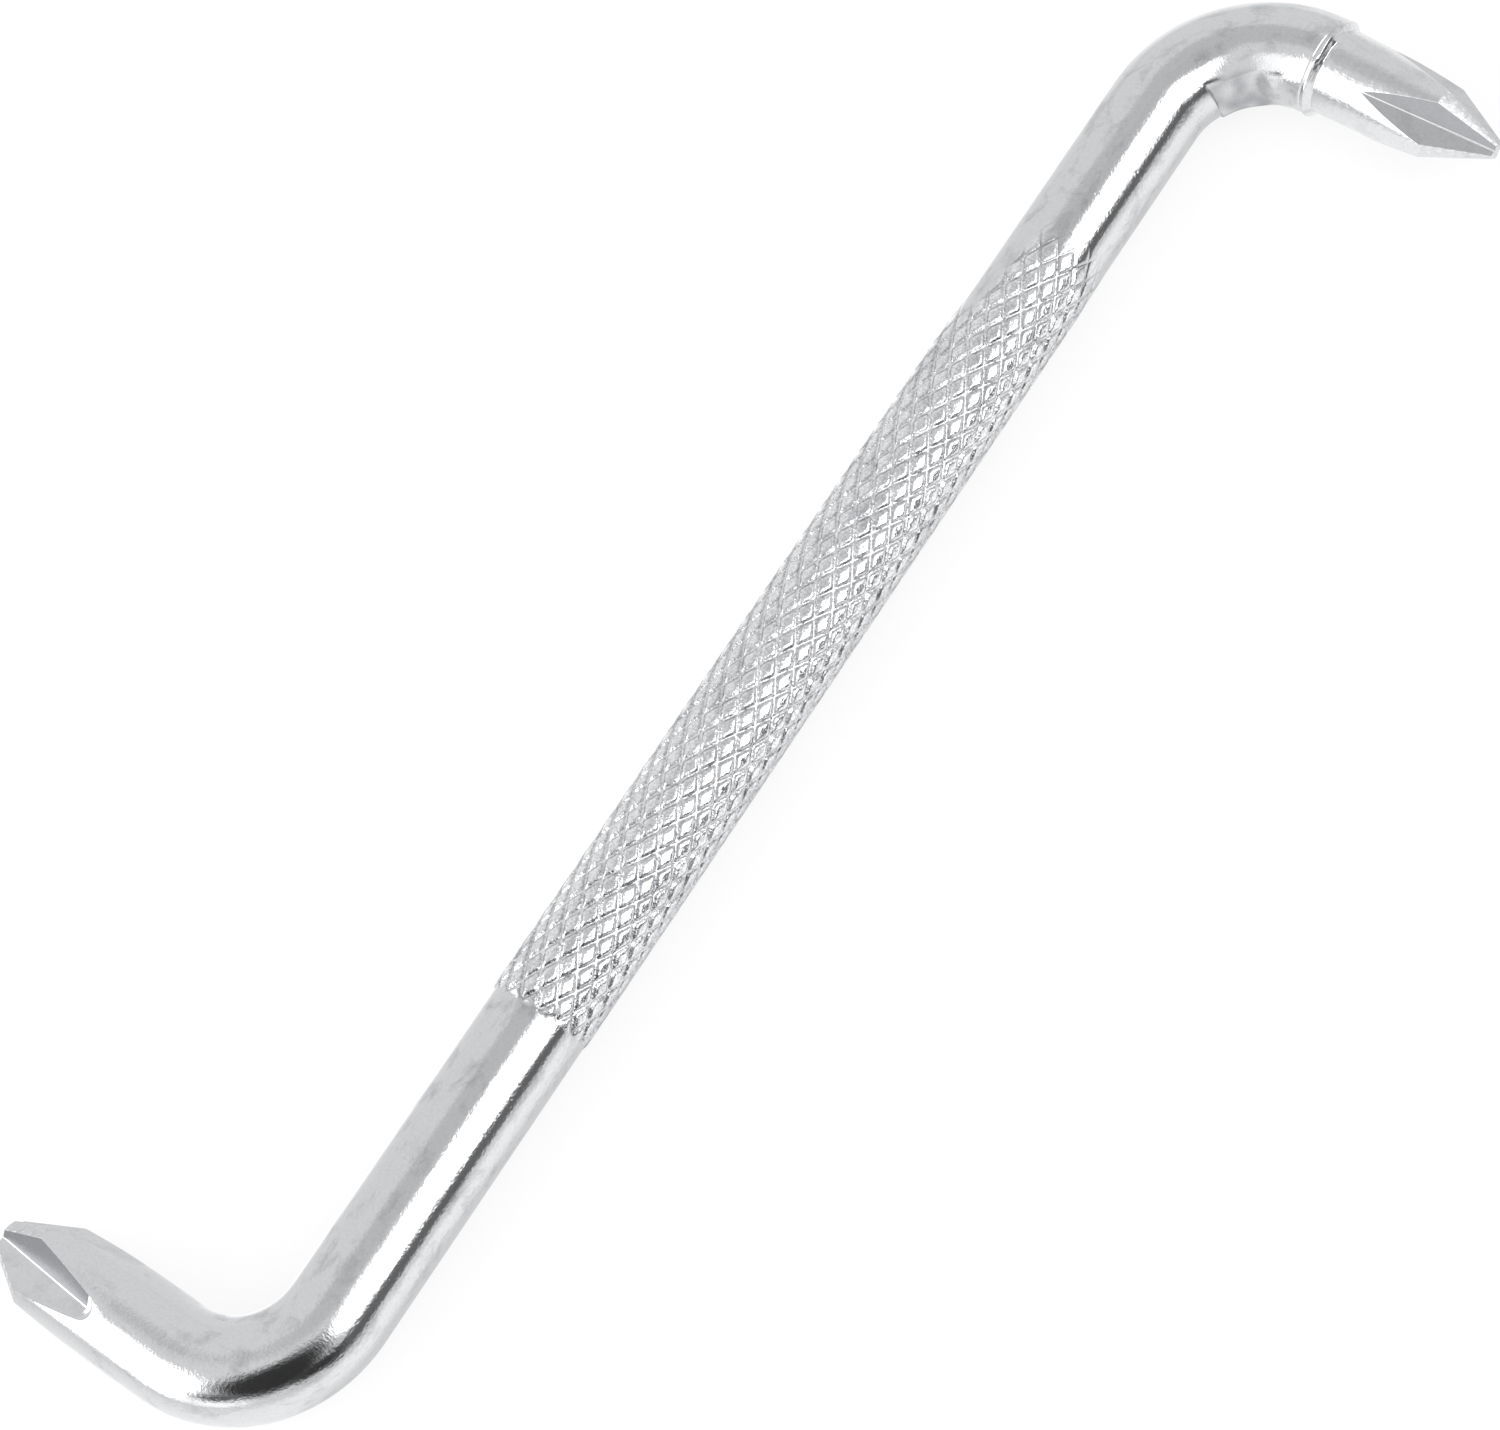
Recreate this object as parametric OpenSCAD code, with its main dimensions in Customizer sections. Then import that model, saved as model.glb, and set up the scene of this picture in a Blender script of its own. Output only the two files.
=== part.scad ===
// Offset screwdriver: one round steel bar with a rolled diamond grip, bent to a
// short arm at each end in opposite directions, with a cross-point tip on each arm.
// It lies flat. +Z is up, the grip runs along +Y and the upper arm points to +X.
// The origin is under the middle of the tool, at the level it rests on.

/* [Bar] */
// Diameter of the round bar
bar_d = 6.35; // [6.2:0.05:7.5]
// Length of the plain bar between the lower bend and the grip
lower_shank_len = 20.3; // [10:0.1:40]
// Length of the plain bar between the grip and the upper bend
upper_shank_len = 10.7; // [5:0.1:40]

/* [Knurled grip] */
// Length of the grip
grip_len = 58.5; // [30:0.5:90]
// Number of grooves that wind round the bar in each direction
knurl_starts = 16; // [10:1:18]
// Angle between a groove and the length of the bar
knurl_angle = 31.6; // [30:0.1:45]
// Width of a groove at the tops of the diamonds
knurl_groove_w = 0.44; // [0.15:0.01:0.5]
// Height of the diamonds above the plain bar
knurl_rise = 0.115; // [0.05:0.005:0.2]
// Depth of the grooves below the plain bar
knurl_sink = 0.105; // [0.05:0.005:0.2]

/* [Upper bend] */
// Angle that the upper arm is turned through
upper_bend_angle = 93; // [90:1:110]
// Radius of the upper bend along the middle of the bar
upper_bend_r = 7.5; // [6.5:0.1:12]
// Radius of the bending pin that marked the inside of the bend
mark_r = 3; // [2:0.1:3.4]
// Depth of the mark
mark_depth = 0.3; // [0.05:0.01:0.35]

/* [Lower bend] */
// Angle that the lower arm is turned through
lower_bend_angle = 90; // [90:1:110]
// Radius of the lower bend along the middle of the bar
lower_bend_r = 7.2; // [6.5:0.1:12]

/* [Upper arm] */
// Length of the step from the bar down to the neck
collar_len = 1.1; // [1.1:0.1:3]
// Length of the nick that the forging die left at the start of the step
nick_len = 0.15; // [0.1:0.05:0.25]
// Depth of the nick
nick_depth = 0.12; // [0.05:0.01:0.2]
// Length of the bead of metal between the die's halves
bead_len = 0.6; // [0.4:0.05:0.8]
// Height of the bead
bead_rise = 0.12; // [0.05:0.01:0.3]
// Diameter of the neck next to the step
neck_d = 5.6; // [5:0.05:5.8]
// Length of the neck
neck_len = 2.3; // [1:0.1:10]

/* [Upper tip] */
// Diameter of the neck where its point starts
upper_shoulder_d = 5.25; // [4.5:0.05:5.5]
// Diameter of the blunt end
upper_blunt_d = 1.25; // [1:0.05:1.8]
// Angle between the point and the tip's axis
upper_point_angle = 26.5; // [25:0.5:32]
// Length of a flute from the blunt end
upper_flute_len = 8.7; // [7:0.1:12]
// Diameter of the core between the flutes at the blunt end
upper_core_d = 0.7; // [0.5:0.05:1]
// Angle across a flute
upper_flute_angle = 124; // [92:1:130]
// Turn of the wings about the tip's axis
upper_wing_turn = -9; // [-45:1:45]

/* [Lower arm] */
// Length of the plain arm between the bend and the tip
lower_arm_len = 3.6; // [3:0.1:30]

/* [Lower tip] */
// Diameter where the point starts
lower_shoulder_d = 6.1; // [5.2:0.05:6.2]
// Diameter of the blunt end
lower_blunt_d = 2.4; // [2:0.05:2.8]
// Angle between the point and the tip's axis
lower_point_angle = 30; // [25:0.5:32]
// Length of a flute from the blunt end
lower_flute_len = 9.1; // [7:0.1:12]
// Depth of a flute's rounded back end
lower_flute_end = 0.55; // [0.1:0.01:0.7]
// Diameter of the core between the flutes at the blunt end
lower_core_d = 1.7; // [1.4:0.05:2]
// Angle across a flute
lower_flute_angle = 124; // [92:1:130]
// Turn of the wings about the tip's axis
lower_wing_turn = 31; // [-45:1:45]

/* [Hidden] */
// A cross point has four wings and four flutes
flutes = 4;
// How far a cut runs past the surface that it leaves
overrun = 1;
// Length of bar that a tip keeps behind its flutes
tip_land = 0.3;
// Rows over which the diamonds rise to their height at each end of the grip
fade_rows = 2;
// Points along the section of the forging bead
bead_steps = 12;
// Smoothness of the round surfaces
$fn = 96;

bar_r = bar_d / 2;
grip_r = bar_r + knurl_rise;
// Height of the bar's axis, set by what stands proudest of it
axis_z = bar_r + max(knurl_rise, bead_rise - nick_depth);

// Length of straight axis that a bend takes from its corner
lower_tangent = lower_bend_r * tan(lower_bend_angle / 2);
upper_tangent = upper_bend_r * tan(upper_bend_angle / 2);
upper_tip_len = upper_flute_len + tip_land;
lower_tip_len = lower_flute_len + tip_land;
upper_reach = upper_tangent + collar_len + neck_len + upper_tip_len;
lower_reach = lower_tangent + lower_arm_len + lower_tip_len;

// Places along the bar's axis, measured from the lower end of the grip
lower_bend_y = -lower_shank_len;
upper_bend_y = grip_len + upper_shank_len;

// Outermost points of the tool, seen from above
high_x = upper_reach * sin(upper_bend_angle);
low_x = -lower_reach * sin(lower_bend_angle);
high_y = upper_bend_y + upper_bend_r + bar_r;
low_y = lower_bend_y - lower_bend_r - bar_r;
middle_x = (high_x + low_x) / 2;
middle_y = (high_y + low_y) / 2;

// The neck and the upper tip share one taper, which the joint between them divides
upper_point_len = (upper_shoulder_d - upper_blunt_d) / 2 / tan(upper_point_angle);
neck_share = (upper_tip_len - upper_point_len)
    / (upper_tip_len - upper_point_len + neck_len);
upper_tip_d = upper_shoulder_d + (neck_d - upper_shoulder_d) * neck_share;

// The knurl's grooves divide the bar's round into half diamonds, and its length
// into rows of about the height that the groove's angle gives
turns = 2 * knurl_starts;
half_diamond = PI * grip_r / knurl_starts;
rows = round(grip_len * tan(knurl_angle) / half_diamond);
row_len = grip_len / rows;
// Share of half a diamond that the groove takes
groove_share = knurl_groove_w / 2 / (half_diamond * cos(knurl_angle));

// Places its children in the grip's frame: bar along +Y from the grip's lower end
module on_bar(y = 0) {
    translate([-middle_x, y - middle_y, axis_z]) children();
}

// Turns its children so that their Z runs along the bar
module along_bar() {
    rotate([-90, 0, 0]) children();
}

// Places its children on an arm: their Z leaves the bend's corner along the arm
// and their X points up
module on_upper_arm(z = 0) {
    on_bar(upper_bend_y + upper_tangent)
        rotate([0, 90, 90 - upper_bend_angle])
            rotate([0, 0, 180])
                translate([0, 0, z]) children();
}

module on_lower_arm(z = 0) {
    on_bar(lower_bend_y - lower_tangent)
        rotate([0, 90, 270 - lower_bend_angle])
            rotate([0, 0, 180])
                translate([0, 0, z]) children();
}

// A bend of the round bar that starts at the origin, heads for +Y and turns to +X
module bend(bend_r, angle) {
    translate([bend_r, 0, 0])
        mirror([1, 0, 0])
            rotate_extrude(angle = angle)
                translate([bend_r, 0]) circle(r = bar_r);
}

// A place on the knurl: u half diamonds round the bar from its top, v along it
function lattice(u, v, r) = [
    r * sin(u * 360 / turns), v * row_len, r * cos(u * 360 / turns)];

// How far the knurl has risen at a row, from 0 at the grip's ends to 1
function risen(v) = min(1, v / fade_rows, (rows - v) / fade_rows);

// Grooves cross where u + v is even, and a diamond stands where it is odd
function is_pad(u, v) = (u + v) % 2 == 1;

// Number of a point where grooves cross, and of a corner of a diamond's top
function valley(u, v) = v * turns + (u + turns) % turns;
function pad(u, v, corner) = (rows + 1) * turns
    + 4 * ((v - 1) * knurl_starts + floor(u / 2)) + corner;

// The rolled grip: a lattice of V grooves with a flat-topped diamond in each mesh
module knurl() {
    valleys = [for (v = [0 : rows]) for (u = [0 : turns - 1])
        lattice(u, v, v == 0 || v == rows ? bar_r : bar_r - knurl_sink * risen(v))];
    top_share = 1 - groove_share;
    corners = [for (v = [1 : rows - 1]) for (u = [0 : turns - 1]) if (is_pad(u, v))
        for (step = [[0, top_share], [top_share, 0], [0, -top_share], [-top_share, 0]])
            lattice(u + step[0], v + step[1], bar_r + knurl_rise * risen(v))];
    meshes = [for (v = [1 : rows - 1]) for (u = [0 : turns - 1]) if (is_pad(u, v))
        let (ring = [valley(u, v + 1), valley(u + 1, v), valley(u, v - 1), valley(u - 1, v)])
            for (k = [0 : 3])
                let (next = (k + 1) % 4)
                    each [[ring[k], ring[next], pad(u, v, k)],
                        [ring[next], pad(u, v, next), pad(u, v, k)]]];
    tops = [for (v = [1 : rows - 1]) for (u = [0 : turns - 1]) if (is_pad(u, v))
        each [[pad(u, v, 0), pad(u, v, 1), pad(u, v, 2)],
            [pad(u, v, 0), pad(u, v, 2), pad(u, v, 3)]]];
    first = [for (u = [1 : 2 : turns - 1])
        each [[valley(u, 1), valley(u + 1, 0), valley(u, 0)],
            [valley(u, 1), valley(u, 0), valley(u - 1, 0)]]];
    last = [for (u = [(rows + 1) % 2 : 2 : turns - 1])
        each [[valley(u, rows - 1), valley(u, rows), valley(u + 1, rows)],
            [valley(u, rows - 1), valley(u - 1, rows), valley(u, rows)]]];
    ends = [[for (u = [0 : turns - 1]) valley(u, 0)],
        [for (u = [turns - 1 : -1 : 0]) valley(u, rows)]];
    polyhedron(concat(valleys, corners), concat(meshes, tops, first, last, ends));
}

// The V cut of one flute. The core's edge starts at the origin and leaves toward
// -Z, leaning out along +X; a rounded end is the half cone that the cutter leaves.
module flute(run, lean, depth, angle, rounded) {
    half_w = depth * tan(angle / 2);
    rotate([0, -lean, 0])
        translate([0, 0, -run]) {
            linear_extrude(run + overrun)
                polygon([[0, 0], [depth, half_w], [depth, -half_w]]);
            if (rounded)
                rotate([-90, 0, -90])
                    rotate_extrude(angle = 180)
                        polygon([[0, 0], [half_w, depth], [0, depth]]);
        }
}

// A cross point that ends at z = length. A back end of 0 lets the flutes run out.
module cross_tip(length, back_d, shoulder_d, blunt_d, point_angle,
        core_d, flute_len, flute_end, flute_angle, wing_turn) {
    point_len = (shoulder_d - blunt_d) / 2 / tan(point_angle);
    end_run = flute_len - flute_end * tan(flute_angle / 2);
    end_r = back_d / 2 - flute_end;
    lean = atan((end_r - core_d / 2) / end_run);
    difference() {
        rotate_extrude()
            polygon([[0, 0], [back_d / 2, 0], [shoulder_d / 2, length - point_len],
                [blunt_d / 2, length], [0, length]]);
        for (k = [0 : flutes - 1])
            rotate([0, 0, wing_turn + (k + 1 / 2) * 360 / flutes])
                translate([core_d / 2, 0, length])
                    flute(flute_end > 0 ? end_run / cos(lean) : length * 2,
                        lean, back_d, flute_angle, flute_end > 0);
    }
}

module knurled_grip() {
    color("#C9CACC") on_bar() knurl();
}

module lower_shank() {
    color("#D6D7D8") on_bar(lower_bend_y) along_bar() cylinder(h = lower_shank_len, r = bar_r);
}

module upper_shank() {
    color("#D6D7D8") on_bar(grip_len) along_bar() cylinder(h = upper_shank_len, r = bar_r);
}

module lower_bend() {
    color("#CFD0D2") on_bar(lower_bend_y) rotate([0, 0, 180]) bend(lower_bend_r, lower_bend_angle);
}

// The bending pin pressed its round into the inside of the bend, half way round
module upper_bend() {
    inside_r = upper_bend_r - bar_r;
    color("#CFD0D2") on_bar(upper_bend_y)
        difference() {
            bend(upper_bend_r, upper_bend_angle);
            translate([upper_bend_r, 0, 0])
                rotate([0, 0, -upper_bend_angle / 2])
                    translate([mark_r - inside_r - mark_depth, 0, 0])
                        cylinder(h = bar_d, r = mark_r, center = true);
        }
}

// The step has a nick, then a round bead, then a slope down to the neck
module upper_collar() {
    nick_r = bar_r - nick_depth;
    bead = [for (k = [0 : bead_steps])
        [nick_r + bead_rise * sin(180 * k / bead_steps),
            nick_len + bead_len * k / bead_steps]];
    color("#DCDDDE") on_upper_arm(upper_tangent)
        rotate_extrude()
            polygon(concat([[0, 0], [bar_r, 0]], bead,
                [[neck_d / 2, collar_len], [0, collar_len]]));
}

module upper_neck() {
    color("#D6D7D8") on_upper_arm(upper_tangent + collar_len)
        cylinder(h = neck_len, d1 = neck_d, d2 = upper_tip_d);
}

module upper_tip() {
    color("#D2D3D5") on_upper_arm(upper_reach - upper_tip_len)
        cross_tip(upper_tip_len, upper_tip_d, upper_shoulder_d, upper_blunt_d,
            upper_point_angle, upper_core_d, upper_flute_len, 0, upper_flute_angle,
            upper_wing_turn);
}

module lower_arm() {
    color("#D6D7D8") on_lower_arm(lower_tangent) cylinder(h = lower_arm_len, r = bar_r);
}

module lower_tip() {
    color("#D2D3D5") on_lower_arm(lower_reach - lower_tip_len)
        cross_tip(lower_tip_len, bar_d, lower_shoulder_d, lower_blunt_d,
            lower_point_angle, lower_core_d, lower_flute_len, lower_flute_end,
            lower_flute_angle, lower_wing_turn);
}

knurled_grip();
lower_shank();
lower_bend();
lower_arm();
lower_tip();
upper_shank();
upper_bend();
upper_collar();
upper_neck();
upper_tip();
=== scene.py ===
import math
import random

import bmesh
import bpy
from mathutils import Matrix, Quaternion, Vector, noise


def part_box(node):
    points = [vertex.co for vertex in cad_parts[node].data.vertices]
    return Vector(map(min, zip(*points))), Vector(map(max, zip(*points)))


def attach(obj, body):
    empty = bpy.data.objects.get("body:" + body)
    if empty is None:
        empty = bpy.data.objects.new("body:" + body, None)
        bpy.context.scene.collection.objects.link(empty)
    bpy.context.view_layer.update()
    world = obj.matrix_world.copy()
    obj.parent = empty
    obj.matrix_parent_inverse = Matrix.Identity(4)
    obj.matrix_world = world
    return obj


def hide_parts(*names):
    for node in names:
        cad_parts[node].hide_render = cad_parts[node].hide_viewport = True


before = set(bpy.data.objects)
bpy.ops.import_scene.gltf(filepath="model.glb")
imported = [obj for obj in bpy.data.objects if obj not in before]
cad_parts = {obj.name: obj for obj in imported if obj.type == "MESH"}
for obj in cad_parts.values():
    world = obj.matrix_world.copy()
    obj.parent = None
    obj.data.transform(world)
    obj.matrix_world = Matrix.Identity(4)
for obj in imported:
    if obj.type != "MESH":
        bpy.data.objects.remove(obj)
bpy.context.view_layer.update()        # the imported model, one object for each zone of the bar
scene = bpy.context.scene
scene.view_settings.view_transform = "Standard"
print("frame loaded")

mm = 0.001               # the whole scene is in metres


def towards(azimuth, elevation):
    # azimuth 0 is +X and 90 is +Y, elevation is above the floor, in degrees
    turn, rise = math.radians(azimuth), math.radians(elevation)
    return Vector((math.cos(turn) * math.cos(rise), math.sin(turn) * math.cos(rise), math.sin(rise)))


def hexColour(code):
    # sRGB hex to the linear values that shaders use
    parts = [int(code[i:i + 2], 16) / 255 for i in (1, 3, 5)]
    linear = [c / 12.92 if c <= 0.04045 else ((c + 0.055) / 1.055) ** 2.4 for c in parts]
    return (*linear, 1.0)


def addNode(tree, kind, settings=None):
    # a setting is one of the node's own, or an input's value, or the socket that it comes from
    node = tree.nodes.new(kind)
    for name, value in (settings or {}).items():
        if isinstance(value, bpy.types.NodeSocket):
            tree.links.new(value, node.inputs[name])
        elif isinstance(name, int) or name in node.inputs:
            node.inputs[name].default_value = value
        else:
            setattr(node, name, value)
    return node


def maths(tree, operation, *parts):
    settings = {"operation": operation, **dict(enumerate(parts))}
    return addNode(tree, "ShaderNodeMath", settings).outputs["Value"]


def vectorMaths(tree, operation, *parts):
    settings = {"operation": operation, **dict(enumerate(parts))}
    return addNode(tree, "ShaderNodeVectorMath", settings).outputs


def mixNumbers(tree, share, first, second):
    settings = {"data_type": "FLOAT", 0: share, 2: first, 3: second}
    return addNode(tree, "ShaderNodeMix", settings).outputs[0]


def mixColours(tree, share, first, second):
    settings = {"data_type": "RGBA", 0: share, 6: first, 7: second}
    return addNode(tree, "ShaderNodeMix", settings).outputs[2]


def mixShaders(tree, share, first, second):
    settings = {0: share, 1: first.outputs[0], 2: second.outputs[0]}
    return addNode(tree, "ShaderNodeMixShader", settings).outputs[0]


def mapRange(tree, value, low, high, atLow=0, atHigh=1, kind="SMOOTHSTEP"):
    settings = {"interpolation_type": kind, "From Min": low, "From Max": high,
                "To Min": atLow, "To Max": atHigh, "Value": value}
    return addNode(tree, "ShaderNodeMapRange", settings).outputs["Result"]


def makeNoise(tree, place, size, detail, roughness, distortion=0):
    settings = {"Scale": 1 / size, "Detail": detail, "Roughness": roughness,
                "Distortion": distortion, "Vector": place}
    return addNode(tree, "ShaderNodeTexNoise", settings).outputs["Fac"]


def stretch(tree, place, width, length):
    # coordinates for a pattern whose spots have this width, and this length along the bar
    settings = {"Scale": (1 / width, 1 / length, 1 / width), "Vector": place}
    return addNode(tree, "ShaderNodeMapping", settings).outputs["Vector"]


def newMaterial(name):
    material = bpy.data.materials.new(name)
    material.use_nodes = True
    material.node_tree.nodes.clear()
    return material, material.node_tree


def makeObject(name, shape):
    # puts a bmesh into the scene
    data = bpy.data.meshes.new(name)
    shape.to_mesh(data)
    shape.free()
    made = bpy.data.objects.new(name, data)
    scene.collection.objects.link(made)
    return made


# The camera looks down at the bar from the right, rolled so that the bar runs
# from the lower left of the picture to the upper right
camera = {
    "aim": (0.25, -2.34, 3.29),      # mm
    "distance": 197.29,              # mm
    "azimuth": -28.51,
    "elevation": 64.71,
    "roll": -29.70,
    "lens": 78.72,                   # mm
    "sensor": 36,                    # mm
}


def makeCamera(settings):
    data = bpy.data.cameras.new("camera")
    data.lens = settings["lens"]
    data.sensor_width = settings["sensor"]
    data.clip_start = 0.01
    data.clip_end = 20
    made = bpy.data.objects.new("camera", data)
    back = towards(settings["azimuth"], settings["elevation"])
    made.location = (Vector(settings["aim"]) + back * settings["distance"]) * mm
    made.rotation_mode = "QUATERNION"
    roll = Quaternion((0, 0, 1), math.radians(settings["roll"]))
    made.rotation_quaternion = (-back).to_track_quat("-Z", "Y") @ roll
    scene.collection.objects.link(made)
    scene.camera = made


makeCamera(camera)
print("camera placed")

# A pale tent with two round softboxes, a brighter and a dimmer window in its wall, three dark
# flags that stand near the lower bend and a grey one that hangs over the upper bend
studio = {
    "wall": "#ECECEC",
    "seen": "#FFFFFF",               # the ground behind the bar
    "windows": [
        # azimuth from and to, elevation from and to, softness, light as a share of the wall's
        (-102, -66, -12, 56, 4, 1.6),
        (-26, 34, 2, 26, 3, 0.19),
    ],
    "lid": (119, 77, 22, 4, 0.76),   # a dimmer patch overhead: its middle, half angle, softness, light
    "softboxes": {
        # azimuth, elevation, width and height in mm, brightness
        "softbox_right": (18.2, 46.6, 810, 900, 1.7),
        "softbox_front": (-128, 19.7, 1150, 1300, 1.7),
    },
    "softboxDistance": 900,          # mm
    "flags": {
        # seen from this place in mm: azimuth, elevation, distance, half width and height, share of
        # that where its soft border starts, light it gives back, and how far round that place its
        # louvres let it show, in mm
        "dark_flag": ((-3, -50, 3), -53, 43, 120, (86, 84), 0.45, 0.035, (28, 42)),
        "low_dark_flag": ((-3, -50, 3), -27, 20, 112, (44, 30), 0.35, 0.04, (28, 42)),
        "left_dark_flag": ((-3, -50, 3), -80, 21, 115, (42, 22), 0.2, 0.09, (28, 42)),
        "grey_flag": ((5, 50, 5), 30, 74, 195, (72, 50), 0.9, 0.6, (90, 120)),
    },
    "floorSize": 4000,               # mm
    "floorColour": "#F4F4F4",
    "floorGlow": 0.78,               # share of the floor's white that no shadow takes
    "metalGlow": 0.85,               # the same share in the metal's reflections
    "seenGlow": 1.03,                # how bright that white is, except in the metal
    "pool": (30, 80),                # mm, half width and half length of the brightest floor
    "poolPlace": 8,                  # mm to the right of the bar
    "poolBorder": (0.3, 1.7),        # where it starts and stops fading, as shares of that size
    "poolLight": (1.2, 0.78),        # what metal sees of it, inside and far outside
    "strips": [
        # what the shaft sees of the floor: place in mm across it, and light
        (-20, 0.82), (-11, 0.88), (-6, 1.36), (-2.5, 0.78),
        (4.5, 0.8), (8.5, 1.1), (17, 1.14), (38, 0.8),
    ],
    "stripsTop": 2,                  # light at the top of the curve that holds the strips
    "stripsHalfLength": (46, 56),    # mm, where they start and stop giving way to the pool
}


def makeWindow(tree, azimuth, elevation, window):
    # the wall's own light outside the window and the window's inside, with soft borders
    fromAzimuth, toAzimuth, fromElevation, toElevation, softness, light = window
    inside = 1
    for angle, low, high in ((azimuth, fromAzimuth, toAzimuth), (elevation, fromElevation, toElevation)):
        for border, way in ((low, 1), (high, -1)):
            share = mapRange(tree, angle, math.radians(border - way * softness),
                             math.radians(border + way * softness))
            inside = maths(tree, "MULTIPLY", inside, share)
    return mixNumbers(tree, inside, 1, light)


def makeWorld(settings):
    world = bpy.data.worlds.new("studio")
    scene.world = world
    world.use_nodes = True
    tree = world.node_tree
    tree.nodes.clear()
    place = addNode(tree, "ShaderNodeTexCoord").outputs["Generated"]
    parts = addNode(tree, "ShaderNodeSeparateXYZ", {0: place}).outputs
    azimuth = maths(tree, "ARCTAN2", parts["Y"], parts["X"])
    elevation = maths(tree, "ARCSINE", parts["Z"])
    lidAzimuth, lidElevation, reach, softness, lidLight = settings["lid"]
    near = vectorMaths(tree, "DOT_PRODUCT", place, towards(lidAzimuth, lidElevation))["Value"]
    light = mapRange(tree, near, math.cos(math.radians(reach + softness)),
                     math.cos(math.radians(reach - softness)), 1, lidLight)
    for window in settings["windows"]:
        light = maths(tree, "MULTIPLY", light, makeWindow(tree, azimuth, elevation, window))
    wall = addNode(tree, "ShaderNodeBackground", {"Color": hexColour(settings["wall"]), "Strength": light})
    white = addNode(tree, "ShaderNodeBackground", {"Color": hexColour(settings["seen"])})
    path = addNode(tree, "ShaderNodeLightPath").outputs
    both = mixShaders(tree, path["Is Camera Ray"], wall, white)
    addNode(tree, "ShaderNodeOutputWorld", {"Surface": both})


def makeSoftboxes(settings):
    for name, (azimuth, elevation, width, height, brightness) in settings["softboxes"].items():
        data = bpy.data.lights.new(name, "AREA")
        data.shape = "ELLIPSE"
        data.size = width * mm
        data.size_y = height * mm
        area = math.pi / 4 * data.size * data.size_y
        data.energy = brightness * math.pi * area
        made = bpy.data.objects.new(name, data)
        back = towards(azimuth, elevation)
        made.location = back * settings["softboxDistance"] * mm
        made.rotation_mode = "QUATERNION"
        made.rotation_quaternion = (-back).to_track_quat("-Z", "Y")
        scene.collection.objects.link(made)


def makeFlag(name, start, azimuth, elevation, distance, size, border, light, louvres):
    # an oval with a soft border that only shows in the metal
    back = towards(azimuth, elevation)
    place = Vector(start) + back * distance
    shape = bmesh.new()
    bmesh.ops.create_grid(shape, x_segments=1, y_segments=1, size=1)
    spread = shape.verts.layers.float_vector.new("spread")
    for vert in shape.verts:
        vert[spread] = vert.co
    turn = back.to_track_quat("Z", "Y").to_matrix().to_4x4()
    bmesh.ops.transform(shape, verts=shape.verts,
                        matrix=Matrix.Scale(mm, 4) @ Matrix.Translation(place) @ turn
                        @ Matrix.Diagonal((size[0], size[1], 1, 1)))
    made = makeObject(name, shape)
    made.visible_camera = False
    made.visible_shadow = False
    made.visible_diffuse = False
    material, tree = newMaterial(name)
    spot = addNode(tree, "ShaderNodeAttribute", {"attribute_name": "spread"}).outputs["Vector"]
    clear = mapRange(tree, vectorMaths(tree, "LENGTH", spot)["Value"], border, 1)
    # the louvres hide it from a ray that passes the place it stands for at some distance
    ray = addNode(tree, "ShaderNodeNewGeometry").outputs
    home = vectorMaths(tree, "SUBTRACT", Vector(start) * mm, ray["Position"])["Vector"]
    aside = vectorMaths(tree, "CROSS_PRODUCT", home, ray["Incoming"])["Vector"]
    miss = vectorMaths(tree, "LENGTH", aside)["Value"]
    past = mapRange(tree, miss, louvres[0] * mm, louvres[1] * mm)
    cloth = addNode(tree, "ShaderNodeEmission", {"Strength": light})
    gap = addNode(tree, "ShaderNodeBsdfTransparent")
    both = mixShaders(tree, maths(tree, "MAXIMUM", clear, past), cloth, gap)
    addNode(tree, "ShaderNodeOutputMaterial", {"Surface": both})
    made.data.materials.append(material)


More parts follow.
